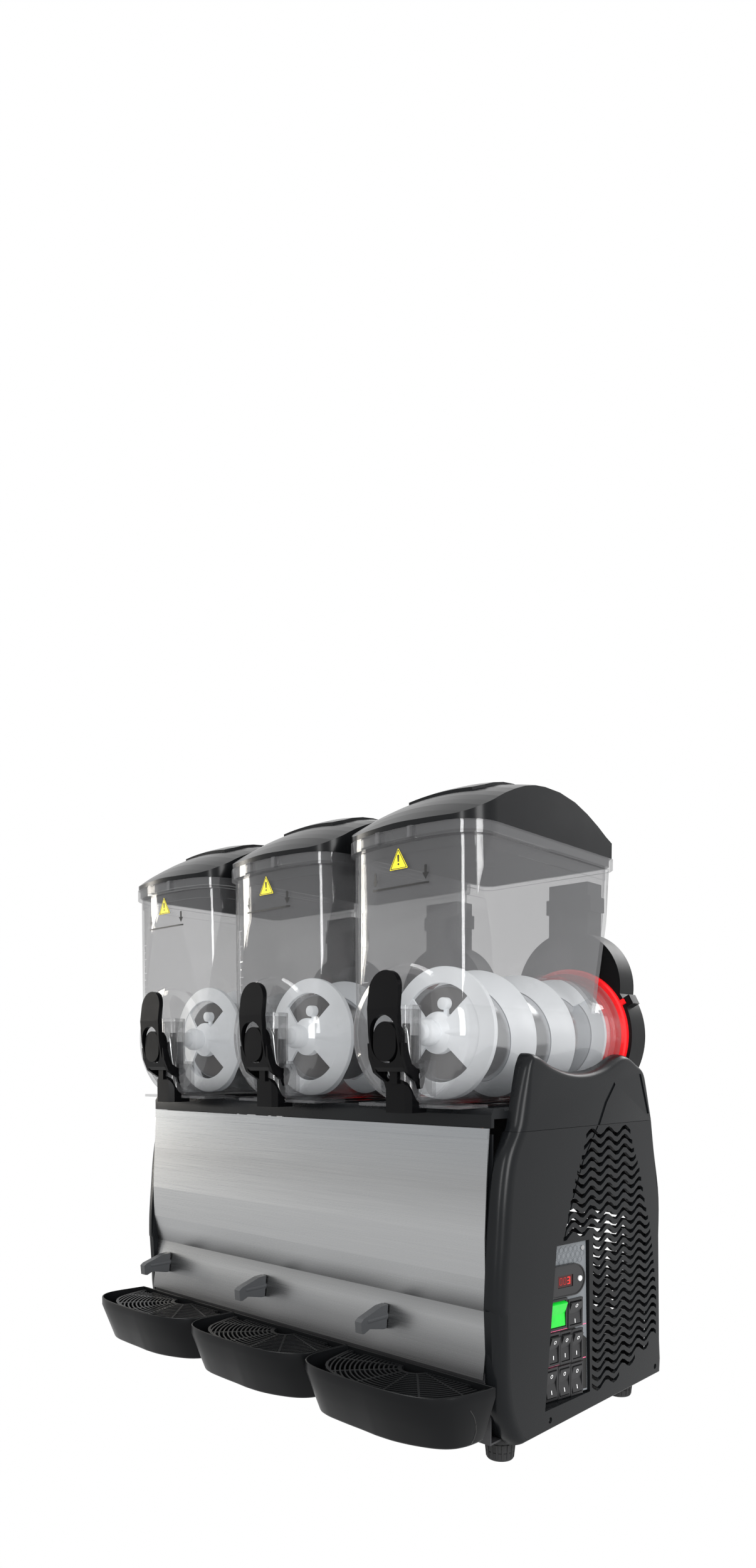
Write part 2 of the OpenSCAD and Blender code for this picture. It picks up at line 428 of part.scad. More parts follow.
module tube(p, q) { d = q - p; l = norm(d); translate(p) rotate([0, acos(d[2]/l), atan2(d[1], d[0])]) cylinder(r = 3, h = l, $fn = 24); translate(q) sphere(r = 3, $fn = 24); }
module refrigerant_lines() color([0.75, 0.42, 0.25]) F() {
  tube([80, 230, 169.3], [80, 230, 200]); tube([80, 230, 200], [80, 300, 200]); tube([80, 300, 200], [80, 300, 342]);
  for (x = [-pitch, 0, pitch]) { tube([x, 300, 342], [x, 331, 342]); tube([x, 331, 342], [x, 331, 394]); tube([x, 331, 394], [x, 304, 394]); }
  tube([-pitch, 300, 342], [pitch, 300, 342]);
  tube([80, 161.2, 100], [80, 140, 100]); tube([80, 140, 100], [80, 140, 315]); tube([80, 140, 315], [-244, 140, 315]); tube([-244, 140, 315], [-244, 140, 304]);
}
module power_inlet() color([0.03, 0.03, 0.035]) F() difference() {
  union() { bx(196.4, 225.6, 346, 366.4, 48.4, 69.6); bx(191, 231, 365.9, 368.9, 43, 75); }
  difference() { bx(199, 223, 352, 380, 51, 67); for (x = [204, 211, 218]) bx(x - 1, x + 1, 351, 364, x == 211 ? 57 : 60, x == 211 ? 61 : 64); }
}
module screws() color([0.5, 0.51, 0.52]) F() {
  for (m = [0, 1]) mirror([m, 0, 0]) for (p = [[123, 35], [358, 35]]) cx(2.9, hw - 5.4, hw - 2.6, p[0], p[1]);
  for (x = [-240, -80, 80, 240]) cy(3, 365.9, 367.9, x, 40);
  translate([ctl_x, ctl_y, 0]) rotate([0, 0, -ctl_turn]) for (p = [[33, 205], [-36, 56]]) { cx(2.6, 0.06, 1.6, p[0], p[1]); cx(1.5, -6, 0.1, p[0], p[1]); }
}

base_plate();
left_side_panel();
right_side_panel();
top_deck();
front_panel();
rear_panel();
feet();
condensate_spouts();
control_plate();
control_box();
temperature_controller();
switch_frames();
main_switch();
light_switch();
mixer_switch(0);  // mixer_switch_left
mixer_switch(1);  // mixer_switch_middle
mixer_switch(2);  // mixer_switch_right
mode_switch(0);  // mode_switch_left
mode_switch(1);  // mode_switch_middle
mode_switch(2);  // mode_switch_right
set_button();
down_button();
power_inlet();
compressor();
condenser();
fan_motor();
fan_blades();
refrigerant_lines();
screws();
drum();  // evaporator_drums
gasket();  // bowl_gaskets
housing();  // rear_housings
gearmotor();  // gearmotors
bowl(-1);  // bowl_left
bowl(0);  // bowl_middle
bowl(1);  // bowl_right
lid(-1);  // lid_left
lid(0);  // lid_middle
lid(1);  // lid_right
auger(-1);  // auger_left
auger(0);  // auger_middle
auger(1);  // auger_right
drive_shaft(-1);  // drive_shaft_left
drive_shaft(0);  // drive_shaft_middle
drive_shaft(1);  // drive_shaft_right
tap_handle(-1);  // tap_handle_left
tap_handle(0);  // tap_handle_middle
tap_handle(1);  // tap_handle_right
tap_piston(-1);  // tap_piston_left
tap_piston(0);  // tap_piston_middle
tap_piston(1);  // tap_piston_right
tap_nozzle(-1);  // tap_nozzle_left
tap_nozzle(0);  // tap_nozzle_middle
tap_nozzle(1);  // tap_nozzle_right
drip_tray(-1);  // drip_tray_left
drip_tray(0);  // drip_tray_middle
drip_tray(1);  // drip_tray_right
drip_grid(-1);  // drip_grid_left
drip_grid(0);  // drip_grid_middle
drip_grid(1);  // drip_grid_right
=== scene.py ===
"""Three-bowl slush machine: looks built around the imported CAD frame.

Blender works in metres in the row's frame: +X right, +Y rear, +Z up. Shapes are written in the design's own
millimetres, measured from its front datum, and D() turns them into the row's frame.
"""
import json
import math

import bmesh
import bpy
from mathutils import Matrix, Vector


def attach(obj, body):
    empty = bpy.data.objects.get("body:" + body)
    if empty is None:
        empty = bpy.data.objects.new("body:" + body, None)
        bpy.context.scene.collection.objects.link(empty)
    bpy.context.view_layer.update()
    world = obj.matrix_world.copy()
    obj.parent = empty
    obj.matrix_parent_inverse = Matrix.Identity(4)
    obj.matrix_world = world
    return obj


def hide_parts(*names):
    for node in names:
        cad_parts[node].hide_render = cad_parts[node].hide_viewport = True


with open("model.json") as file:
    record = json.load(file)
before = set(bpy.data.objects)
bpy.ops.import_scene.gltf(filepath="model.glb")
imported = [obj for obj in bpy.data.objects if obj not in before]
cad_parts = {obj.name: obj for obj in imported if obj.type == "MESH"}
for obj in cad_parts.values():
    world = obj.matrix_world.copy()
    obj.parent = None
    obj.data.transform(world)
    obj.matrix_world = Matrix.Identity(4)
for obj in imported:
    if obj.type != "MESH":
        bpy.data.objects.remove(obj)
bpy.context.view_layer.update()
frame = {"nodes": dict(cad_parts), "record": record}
NODES = frame["nodes"]
Y_MID = 0.162                       # the design's front datum lies this far in front of the row's centre
PITCH = 200.0                       # spacing of the bowls, mm
STATIONS = (("left", -PITCH), ("middle", 0.0), ("right", PITCH))
AXIS_Z = 436.0                      # height of the augers' axes, mm
SEAM_Z = 337.0                      # where the deck meets the side panels, mm
TAU = 2 * math.pi
scene = bpy.context.scene


# ---------- camera ----------
def make_camera():
    data = bpy.data.cameras.new("camera")
    data.sensor_fit = "AUTO"
    data.sensor_width = 36.0
    data.lens = 21.31488                # mm
    data.shift_y = 0.20284              # of the sensor's height
    data.clip_start, data.clip_end = 0.05, 50.0
    cam = bpy.data.objects.new("camera", data)
    scene.collection.objects.link(cam)
    yaw, tilt = math.radians(42.83), math.radians(2.32)
    cam.location = (0.8127, -0.6926 - Y_MID, 0.4031)
    cam.rotation_euler = (math.pi / 2 - tilt, 0.0, yaw)
    scene.camera = cam


# ---------- materials ----------
def nodes_of(mat):
    mat.use_nodes = True
    nt = mat.node_tree
    return nt, next(n for n in nt.nodes if n.type == "BSDF_PRINCIPLED")


def link(nt, a, b):
    nt.links.new(a, b)


def coords(nt, scale=(1, 1, 1), rot=(0, 0, 0)):
    tc = nt.nodes.new("ShaderNodeTexCoord")
    mp = nt.nodes.new("ShaderNodeMapping")
    mp.inputs["Scale"].default_value = scale
    mp.inputs["Rotation"].default_value = rot
    link(nt, tc.outputs["Object"], mp.inputs["Vector"])
    return mp.outputs["Vector"]


def noise(nt, vec, scale, detail=3.0, rough=0.5):
    n = nt.nodes.new("ShaderNodeTexNoise")
    n.inputs["Scale"].default_value = scale
    n.inputs["Detail"].default_value = detail
    n.inputs["Roughness"].default_value = rough
    link(nt, vec, n.inputs["Vector"])
    return n.outputs["Fac"]


def ramp(nt, fac, lo, hi, a=0.35, b=0.65):
    """Maps fac from a..b to lo..hi."""
    m = nt.nodes.new("ShaderNodeMapRange")
    m.inputs["From Min"].default_value, m.inputs["From Max"].default_value = a, b
    m.inputs["To Min"].default_value, m.inputs["To Max"].default_value = lo, hi
    link(nt, fac, m.inputs["Value"])
    return m.outputs["Result"]


def mix_colour(nt, fac, c1, c2):
    m = nt.nodes.new("ShaderNodeMix")
    m.data_type = "RGBA"
    link(nt, fac, m.inputs["Factor"])
    m.inputs["A"].default_value = (*c1, 1)
    m.inputs["B"].default_value = (*c2, 1)
    return m.outputs["Result"]


def bump(nt, bs, height, strength, dist):
    b = nt.nodes.new("ShaderNodeBump")
    b.inputs["Strength"].default_value = strength
    b.inputs["Distance"].default_value = dist
    link(nt, height, b.inputs["Height"])
    link(nt, b.outputs["Normal"], bs.inputs["Normal"])


def plastic(name, col, rough, grain=900.0, depth=0.00006, spread=0.3, strength=0.35, ior=1.46, sheen=0.5):
    """Moulded plastic: slow colour and gloss variation with a fine moulded grain."""
    mat = bpy.data.materials.new(name)
    nt, bs = nodes_of(mat)
    v = coords(nt)
    slow = noise(nt, v, 14.0, 4.0, 0.6)
    lo = tuple(c * (1 - spread * 0.35) for c in col)
    hi = tuple(min(1.0, c * (1 + spread * 0.35)) for c in col)
    link(nt, mix_colour(nt, slow, lo, hi), bs.inputs["Base Color"])
    link(nt, ramp(nt, slow, rough * 0.88, rough * 1.12), bs.inputs["Roughness"])
    bs.inputs["IOR"].default_value = ior
    bs.inputs["Specular IOR Level"].default_value = sheen
    if depth:
        bump(nt, bs, noise(nt, v, grain, 2.0), strength, depth)
    return mat


def metal(name, col, rough, brushed=None, depth=0.00002, strength=0.3):
    """Metal, brushed along one axis when brushed gives the mapping scale."""
    mat = bpy.data.materials.new(name)
    nt, bs = nodes_of(mat)
    v = coords(nt, brushed or (1, 1, 1))
    lines = noise(nt, v, 60.0 if brushed else 24.0, 5.0, 0.7)
    dark, light = tuple(c * 0.86 for c in col), tuple(min(1, c * 1.1) for c in col)
    link(nt, mix_colour(nt, lines, dark, light), bs.inputs["Base Color"])
    link(nt, ramp(nt, lines, rough * 0.8, rough * 1.2), bs.inputs["Roughness"])
    bs.inputs["Metallic"].default_value = 1.0
    bump(nt, bs, lines, strength, depth)
    return mat


def clear_plastic(name, tint, alpha, edge, rough=0.04, ior=1.6):
    """Clear moulded plastic: see-through face on, denser at grazing angles."""
    mat = bpy.data.materials.new(name)
    nt, bs = nodes_of(mat)
    v = coords(nt)
    slow = noise(nt, v, 9.0, 3.0)
    link(nt, mix_colour(nt, slow, tuple(c * 0.96 for c in tint), tint), bs.inputs["Base Color"])
    link(nt, ramp(nt, slow, rough * 0.7, rough * 1.4), bs.inputs["Roughness"])
    bs.inputs["IOR"].default_value = ior
    bs.inputs["Specular IOR Level"].default_value = 1.0
    lw = nt.nodes.new("ShaderNodeLayerWeight")
    lw.inputs["Blend"].default_value = 0.35
    link(nt, ramp(nt, lw.outputs["Facing"], alpha, edge, 0.25, 1.0), bs.inputs["Alpha"])
    mat.use_backface_culling = False
    return mat


def add_painted_glow(mat, col, strength):
    """Adds a painted glow: emission that brightens a plastic which is no lamp, as painted light."""
    bs = nodes_of(mat)[1]
    bs.inputs["Emission Color"].default_value = (*col, 1)
    bs.inputs["Emission Strength"].default_value = strength
    return mat


def place_of(nt):
    """Object coordinates, split into X, Y and Z."""
    tc = nt.nodes.new("ShaderNodeTexCoord")
    sp = nt.nodes.new("ShaderNodeSeparateXYZ")
    link(nt, tc.outputs["Object"], sp.inputs["Vector"])
    return sp.outputs


def brushed_front_painted_reflection():
    """Steel brushed along x, with painted reflection in its colour: bright and dark bands by height, and painted
    shade darker towards its foot.
    """
    mat = metal("brushed_front_painted_reflection", (0.33, 0.336, 0.344), 0.3, (0.12, 60, 60), 0.000005, 0.1)
    nt, bs = nodes_of(mat)
    base = bs.inputs["Base Color"].links[0].from_socket
    # painted reflection: a ramp by height of bright and dark bands, with painted shade towards the foot, multiplied
    # into the steel's colour
    cr = nt.nodes.new("ShaderNodeValToRGB")
    cr.color_ramp.elements[0].position, cr.color_ramp.elements[0].color = 0.0, (0.34, 0.33, 0.33, 1)
    cr.color_ramp.elements[1].position, cr.color_ramp.elements[1].color = 1.0, (0.86, 0.88, 0.9, 1)
    for p, v in ((0.22, 0.62), (0.3, 0.95), (0.36, 0.62), (0.43, 1.1), (0.62, 1.15), (0.78, 0.9)):
        e = cr.color_ramp.elements.new(p)
        e.color = (v, v * 0.995, v * 0.985, 1)
    link(nt, ramp(nt, place_of(nt)["Z"], 0.0, 1.0, 0.06, 0.345), cr.inputs["Fac"])
    mx = nt.nodes.new("ShaderNodeMix")
    mx.data_type, mx.blend_type = "RGBA", "MULTIPLY"
    mx.inputs["Factor"].default_value = 1.0
    link(nt, base, mx.inputs["A"])
    link(nt, cr.outputs["Color"], mx.inputs["B"])
    link(nt, mx.outputs["Result"], bs.inputs["Base Color"])
    return mat


def drum_metal():
    """Polished drum with a grey front plug."""
    mat = metal("drum_metal", (0.6, 0.61, 0.62), 0.16, (20, 1, 20), 0.00001, 0.15)
    nt, bs = nodes_of(mat)
    front = ramp(nt, place_of(nt)["Y"], 0.0, 1.0, -0.0895, -0.0885)
    base = bs.inputs["Base Color"].links[0].from_socket
    mx = nt.nodes.new("ShaderNodeMix")
    mx.data_type = "RGBA"
    mx.inputs["A"].default_value = (0.095, 0.088, 0.085, 1)
    link(nt, front, mx.inputs["Factor"])
    link(nt, base, mx.inputs["B"])
    link(nt, mx.outputs["Result"], bs.inputs["Base Color"])
    link(nt, front, bs.inputs["Metallic"])
    return mat


def glow(name, col, strength, base=None):
    mat = bpy.data.materials.new(name)
    nt, bs = nodes_of(mat)
    v = coords(nt)
    f = noise(nt, v, 220.0, 2.0)
    link(nt, mix_colour(nt, f, tuple(c * 0.75 for c in (base or col)), base or col), bs.inputs["Base Color"])
    bs.inputs["Emission Color"].default_value = (*col, 1)
    bs.inputs["Emission Strength"].default_value = strength
    bs.inputs["Roughness"].default_value = 0.2
    return mat


BLACK = (0.0058, 0.0064, 0.0072)
M = {
    "black_panel": plastic("body_plastic", BLACK, 0.27, 1500, 0.0, sheen=0.15),
    "lid_black": plastic("lid_plastic", (0.005, 0.0054, 0.006), 0.22, 1500, 0.0, sheen=0.15),
    "tray_black": plastic("tray_plastic", (0.0042, 0.0045, 0.005), 0.32, 1300, 0.0, sheen=0.12),
    "housing_black": plastic("housing_plastic", (0.0045, 0.0048, 0.0052), 0.4, 900, 0.0, sheen=0.12),
    "tap_black": plastic("tap_plastic", (0.002, 0.002, 0.0023), 0.2, 1500, 0.0, sheen=0.1),
    "switch_black": plastic("switch_plastic", (0.012, 0.012, 0.013), 0.35),
    "piston_grey": plastic("piston_plastic", (0.03, 0.03, 0.032), 0.4),
    "grey_plastic": plastic("spout_plastic", (0.045, 0.047, 0.05), 0.36, sheen=0.3),
    "control_face": plastic("control_sheet", (0.13, 0.14, 0.15), 0.3),
    "controller": plastic("controller_plastic", (0.015, 0.015, 0.016), 0.3),
    "button": plastic("button_plastic", (0.55, 0.56, 0.57), 0.3),
    "green": glow("green_rocker", (0.01, 0.7, 0.04), 0.35, (0.01, 0.4, 0.03)),
    "steel": brushed_front_painted_reflection(),
    "sheet_steel": metal("plain_sheet", (0.5, 0.505, 0.51), 0.42),
    # painted shade: the dark sheet given to the base plate
    "dark_sheet": plastic("painted_shade_sheet", (0.02, 0.02, 0.022), 0.5),
    "rubber": plastic("foot_rubber", (0.008, 0.008, 0.0085), 0.7),
    "compressor_black": plastic("compressor_paint", (0.01, 0.01, 0.011), 0.25),
    "aluminium": metal("fin_metal", (0.6, 0.61, 0.62), 0.4),
    "motor_grey": plastic("motor_paint", (0.12, 0.125, 0.13), 0.45),
    "copper": metal("copper_tube", (0.62, 0.3, 0.17), 0.3),
    "screw_steel": metal("screw_metal", (0.45, 0.455, 0.46), 0.35),
    "drum_steel": drum_metal(),
    # the red seal's emission is a painted glow: the rubber is no lamp
    "red_rubber": glow("red_seal", (0.9, 0.01, 0.01), 0.25, (0.7, 0.008, 0.012)),
    "clear": clear_plastic("clear_bowl", (0.13, 0.131, 0.136), 0.24, 0.74),
    # the white auger plastic carries a painted glow: its emission is painted light
    "auger_white": add_painted_glow(plastic("auger_plastic", (0.84, 0.86, 0.88), 0.28, 300, 0.0, 0.06), (0.9, 0.95, 1.0), 0.2),
    # printed ink, also used for the painted shade of the trays' fold lines
    "ink": plastic("print_and_fold_shade_ink", (0.006, 0.006, 0.006), 0.45, 600, 0.00001),
    "yellow": plastic("yellow_film", (0.85, 0.72, 0.02), 0.4, 600, 0.00001, 0.05),
    "white_ink": plastic("white_ink", (0.75, 0.75, 0.75), 0.45, 600, 0.00001, 0.05),
    "pink": plastic("pink_ink", (0.75, 0.12, 0.25), 0.45, 600, 0.00001, 0.05),
    "display": plastic("display_glass", (0.03, 0.002, 0.002), 0.12, 600, 0.0),
    "led": glow("display_segment", (1.0, 0.02, 0.015), 1.1),
    "led_dim": glow("display_dim", (0.35, 0.008, 0.008), 0.35),
    "clear_rib": clear_plastic("clear_rib", (0.6, 0.6, 0.61), 0.35, 0.7),
}
slot_of = {s["node"]: s["material_slot"] for s in frame["record"]["subparts"]}
# every node wears its slot's material, but the base plate wears a dark sheet as painted shade, where it sits in
# shadow at the foot
for n, o in NODES.items():
    o.data.materials.clear()
    o.data.materials.append(M["dark_sheet" if n == "base_plate" else slot_of[n]])

# ---------- light and world ----------
def area(name, loc, target, size, power, col=(1, 1, 1)):
    d = bpy.data.lights.new(name, "AREA")
    d.shape = "RECTANGLE"
    d.size, d.size_y = size
    d.energy = power
    d.color = col
    o = bpy.data.objects.new(name, d)
    scene.collection.objects.link(o)
    o.location = loc
    o.rotation_euler = (Vector(target) - Vector(loc)).to_track_quat("-Z", "Y").to_euler()


def surroundings():
    w = bpy.data.worlds.new("studio")
    scene.world = w
    w.use_nodes = True
    bg = w.node_tree.nodes["Background"]
    bg.inputs["Color"].default_value = (1, 1, 1, 1)
    bg.inputs["Strength"].default_value = 1.0
    area("edge", (-2.5, -1.05, 0.95), (0, -0.05, 0.45), (0.3, 1.7), 30, (1.0, 0.95, 0.86))
    area("side", (2.4, -0.5, 0.95), (0.2, 0, 0.45), (0.7, 1.5), 48)
    area("corner", (1.3, -1.95, 0.95), (0.2, 0, 0.5), (0.3, 1.3), 20)
    area("top", (-0.5, -0.9, 2.4), (0, 0, 0.4), (1.2, 0.7), 28)
    area("back", (0.4, 2.2, 1.7), (0, 0, 0.5), (1.4, 0.8), 22)


# ---------- geometry helpers: design millimetres (front datum at y = 0) to the row frame ----------
def D(x, y, z):
    return Vector((x / 1000.0, y / 1000.0 - Y_MID, z / 1000.0))


CTL_X, CTL_Y, CTL_TURN = 289.5, 158, math.radians(10)     # the control strip's middle and its turn


def C(u, z, w):
    """A point of the control strip: u to the rear, z up, w out of the strip."""
    c, s = math.cos(CTL_TURN), math.sin(CTL_TURN)
    return D(CTL_X + u * s + w * c, CTL_Y + u * c - w * s, z)


def piece(name, verts, faces, mat, body, slot, smooth=None):
    me = bpy.data.meshes.new(name)
    me.from_pydata([tuple(v) for v in verts], [], faces)
    bm = bmesh.new()
    bm.from_mesh(me)
    bmesh.ops.remove_doubles(bm, verts=bm.verts, dist=1e-7)
    bmesh.ops.recalc_face_normals(bm, faces=bm.faces)
    bm.to_mesh(me)
    bm.free()
    me.materials.append(mat)
    if smooth is not None:
        me.shade_smooth()
        me.set_sharp_from_angle(angle=math.radians(smooth))
    ob = bpy.data.objects.new(name, me)
    scene.collection.objects.link(ob)
    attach(ob, body)
    return ob


class Build:
    """Collects closed shapes into one piece."""

    def __init__(self):
        self.v, self.f = [], []

    def add(self, verts, faces):
        n = len(self.v)
        self.v += list(verts)
        self.f += [tuple(i + n for i in f) for f in faces]

    def prism(self, poly, point, a, b):
        """poly in 2D, point(p, h) gives 3D; closed between heights a and b."""
        n = len(poly)
        walls = [(i, (i + 1) % n, n + (i + 1) % n, n + i) for i in range(n)]
        self.add([point(p, a) for p in poly] + [point(p, b) for p in poly],
                 [tuple(range(n))[::-1], tuple(range(n, 2 * n))] + walls)

    def ring(self, outer, inner, point, a, b):
        """Closed frame between two outlines of the same number of points."""
        n = len(outer)
        v = [point(p, h) for h in (a, b) for loop in (outer, inner) for p in loop]
        f = []
        for i in range(n):
            j = (i + 1) % n
            f += [(i, j, n + j, n + i), (2 * n + i, 3 * n + i, 3 * n + j, 2 * n + j),
                  (i, 2 * n + i, 2 * n + j, j), (n + i, n + j, 3 * n + j, 3 * n + i)]
        self.add(v, f)

    def sweep(self, rings, closed=False):
        """Tube through rings of equal length, capped unless closed."""
        n, m = len(rings[0]), len(rings)
        v = [p for r in rings for p in r]
        f = []
        for k in range(m if closed else m - 1):
            a, b = k * n, ((k + 1) % m) * n
            f += [(a + i, a + (i + 1) % n, b + (i + 1) % n, b + i) for i in range(n)]
        if not closed:
            f += [tuple(range(n))[::-1], tuple(range((m - 1) * n, m * n))]
        self.add(v, f)

    def make(self, *args, **kw):
        return piece(args[0], self.v, self.f, *args[1:], **kw)


def disc(r, n=32, cx=0.0, cz=0.0, a0=0.0):
    turns = [a0 + TAU * i / n for i in range(n)]
    return [(cx + r * math.cos(a), cz + r * math.sin(a)) for a in turns]


def box2(u0, u1, z0, z1):
    return [(u0, z0), (u1, z0), (u1, z1), (u0, z1)]


def wire(points, r, n=8):
    """Rings of a round wire along points."""
    rings = []
    for i, p in enumerate(points):
        t = (points[min(i + 1, len(points) - 1)] - points[max(i - 1, 0)]).normalized()
        a = t.cross(Vector((0, 0, 1)) if abs(t.z) < 0.9 else Vector((1, 0, 0))).normalized()
        b = t.cross(a)
        rings.append([p + (a * math.cos(k * TAU / n) + b * math.sin(k * TAU / n)) * r / 1000 for k in range(n)])
    return rings


# ---------- auger: front ring with fan wings, hub, slanted helical blade ----------
BLADE_FRONT, BLADE_RUN, BLADE_PITCH = 66.5, 219.0, 78.0    # blade tip's first place along the axis, run, pitch
BLADE_START = math.radians(-26.2)                            # where the blade's tip begins round the axis
BLADE_LEAN = 20.0                                            # the root stands up to this far in front of the tip
BLADE_ROOT_R = 51.9                                          # radius of the blade's inner edge


def auger(name, cx):
    def at(r, ang, y):
        return D(cx + r * math.cos(ang), y, AXIS_Z + r * math.sin(ang))

    b = Build()
    steps = 300
    rings = []
    for i in range(steps + 1):
        tip = BLADE_FRONT + BLADE_RUN * i / steps
        ang = BLADE_START - TAU * BLADE_RUN / BLADE_PITCH * i / steps
        root = max(tip - BLADE_LEAN, 65.0)
        mid = (root + tip) / 2
        rings.append([at(BLADE_ROOT_R, ang, root - 1.9), at(60.5, ang, mid - 1.6), at(68.6, ang, tip - 1.3),
                      at(69.2, ang, tip), at(68.6, ang, tip + 1.3), at(60.5, ang, mid + 1.6),
                      at(BLADE_ROOT_R, ang, root + 1.9)])
    b.sweep(rings)
    front_ring = [(51.8, 62), (52.4, 61.6), (69.0, 64.4), (69.5, 65.2), (69.5, 69.4), (69.0, 70), (52.4, 67),
                  (51.8, 66.6)]
    rear_ring = [(51.8, 283.2), (52.2, 282.8), (69.2, 282.8), (69.6, 283.2), (69.6, 286.8), (69.2, 287.2),
                 (52.2, 287.2), (51.8, 286.8)]
    for prof in (front_ring, rear_ring):
        b.sweep([[at(r, TAU * k / 128, y) for r, y in prof] for k in range(128)], closed=True)
    hub = [(0.01, 28.6), (7.4, 28.8), (8.8, 29.6), (9.6, 31), (9.8, 34), (12.2, 35), (13.6, 37.4), (14.2, 42),
           (14.0, 46.5), (12.8, 49.5), (12.6, 51), (15.5, 53.5), (21.8, 58), (22.2, 60.5), (22.2, 66), (0.01, 66)]
    b.sweep([[at(r, TAU * k / 64, y) for r, y in hub] for k in range(64)], closed=True)
    wing_steps, ridge_steps = 24, (11, 12, 13)       # a shallow ridge runs along each wing's middle
    for m in (0, math.pi):
        rows = []
        for k in range(wing_steps + 1):
            ang = m + math.radians(-45 + 90 * k / wing_steps)
            ridge = 0.9 if k in ridge_steps else 0.0
            front = [(14.5, 53.6 - ridge), (22, 57.6 - ridge), (38, 60.0 - ridge), (54, 62.7 - ridge * 0.4)]
            back = [(54, 65.3), (38, 62.8), (22, 60.6), (14.5, 57)]
            rows.append([at(r, ang, y) for r, y in front + back])
        b.sweep(rows)
    body = f"auger_{name}_body"
    ob = b.make("auger_molding_" + name, M["auger_white"], body, "auger_white", smooth=38)
    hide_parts("auger_" + name)
    k = Build()     # round grip knob on a wing's edge
    kz, kx = AXIS_Z + 30.0, cx + 8.5
    knob = ((4.6, 55.2), (6.2, 56.2), (6.5, 58), (6.5, 64.5))
    k.sweep([[D(x, y, z) for x, z in disc(r, 24, kx, kz)] for r, y in knob])
    stem = ((-2, -12), (3, -12), (3, 0), (-2, 0))
    k.sweep([[D(kx + 0.3 + dx, y, kz - 1 + dz) for dx, dz in stem] for y in (61, 64)])
    k.make("auger_knob_" + name, M["auger_white"], body, "auger_white", smooth=38)


# ---------- decals and marks on a bowl's front ----------
BOW_R = 240.0                       # radius of the bowl front's bow, in plan
STICKER = (616.5, 12.6, 21.5)       # the warning triangle's apex height, half width and height
FILL_Z, FILL_HALF = 578.5, 37.0     # fill line's height and half length


def bowl_front(x, z):
    """How far back the bowl's front wall stands: the further back of its bow and its slope."""
    bow = -2 + BOW_R - math.sqrt(BOW_R ** 2 - x ** 2)
    slope = 6 - 5 * (z - 470) / 90 if z < 560 else 1 - 4 * (z - 560) / 60
    return max(bow, slope)


def decal_point(cx, off):
    return lambda p, h: D(cx + p[0], bowl_front(p[0], p[1]) - off - h, p[1])


def sticker_outline(d):
    """The warning triangle with its apex d lower, its base d / 2 higher and each end of the base d further in."""
    top, half, height = STICKER
    return [(-half + d, top - height + d * 0.5), (half - d, top - height + d * 0.5), (0, top - d)]


def rounded(poly, r, n=4):
    """Rounds a convex outline's corners."""
    out = []
    for i, p in enumerate(poly):
        a, c = poly[i - 1], poly[(i + 1) % len(poly)]
        p, a, c = Vector(p), Vector(a), Vector(c)
        u, v = (a - p).normalized() * r, (c - p).normalized() * r
        for k in range(n + 1):
            t = k / n
            out.append(tuple((p + u) * (1 - t) ** 2 + p * 2 * t * (1 - t) + (p + v) * t ** 2))
    return out


def tap_spring(name, cx):
    """Bent wire springs that hold the lever up."""
    b = Build()
    bend = spline([(15.0, 6.0, 389.4), (15.6, 1.5, 394), (16.0, -3, 408), (16.0, -5.2, 424), (14.6, -5.6, 436),
                   (11.5, -5.2, 440.5)], 5)
    for m in (-1, 1):
        pts = [D(cx + m * x, y, z) for x, y, z in bend]
        b.sweep(wire(pts, 0.7, 8))
    b.make("tap_spring_" + name, M["screw_steel"], f"bowl_{name}_body", "screw_steel", smooth=40)


def bowl_marks(name, cx):
    body = f"bowl_{name}_body"
    tri = Build()
    tri.prism(rounded(sticker_outline(0), 1.6), decal_point(cx, 0.15), 0, 0.12)
    tri.make("sticker_edge_" + name, M["ink"], body, "switch_black")
    tri = Build()
    tri.prism(rounded(sticker_outline(0.5), 1.5), decal_point(cx, 0.3), 0, 0.12)
    tri.make("sticker_" + name, M["yellow"], body, "grey_plastic")
    ink = Build()
    pt = decal_point(cx, 0.46)
    ink.ring(rounded(sticker_outline(1.6), 1.3), rounded(sticker_outline(2.9), 1.0), pt, 0, 0.1)
    stroke = [(-0.75, 602.4), (0.75, 602.4), (1.25, 608.6), (0.7, 609.4), (-0.7, 609.4), (-1.25, 608.6)]
    ink.prism(stroke, pt, 0, 0.1)
    ink.prism(disc(1.05, 16, 0, 600.2), pt, 0, 0.1)
    pt = decal_point(cx, 0.15)
    lengths = 12            # the fill line is cut into short lengths that follow the bow
    for k in range(lengths):
        x0 = -FILL_HALF + 2 * FILL_HALF * k / lengths
        ink.prism(box2(x0, x0 + 2 * FILL_HALF / lengths, FILL_Z - 0.9, FILL_Z + 0.9), pt, 0, 0.12)
    for m in (-1, 1):       # arrows
        x = m * 33.0
        ink.prism(box2(x - 1.3, x + 1.3, 588, 595.6), pt, 0, 0.12)
        ink.prism([(x, 581.8), (x + 3.6, 588.2), (x - 3.6, 588.2)], pt, 0, 0.12)
    ink.make("fill_line_" + name, M["ink"], body, "switch_black")
    grad = Build()
    pt = decal_point(cx, -0.2)
    for k in range(9):      # moulded level scale, every second rib longer
        z = 487 + 9 * k
        half = 3.6 if k % 2 == 0 else 2.2
        grad.prism(box2(-55.0, -55.0 + 2 * half, z, z + 0.9), pt, 0, 0.75)
    grad.prism(box2(-56.0, -55.0, 487, 560), pt, 0, 0.75)
    grad.make("level_ribs_" + name, M["clear_rib"], body, "clear")


# ---------- control strip ----------
SEGMENTS = {"0": "abcdef", "3": "abcdg"}
CONTROLLER = (2, 173.5)             # middle of the oval controller on the strip


def on_strip(p, w):
    return C(p[0], p[1], w)


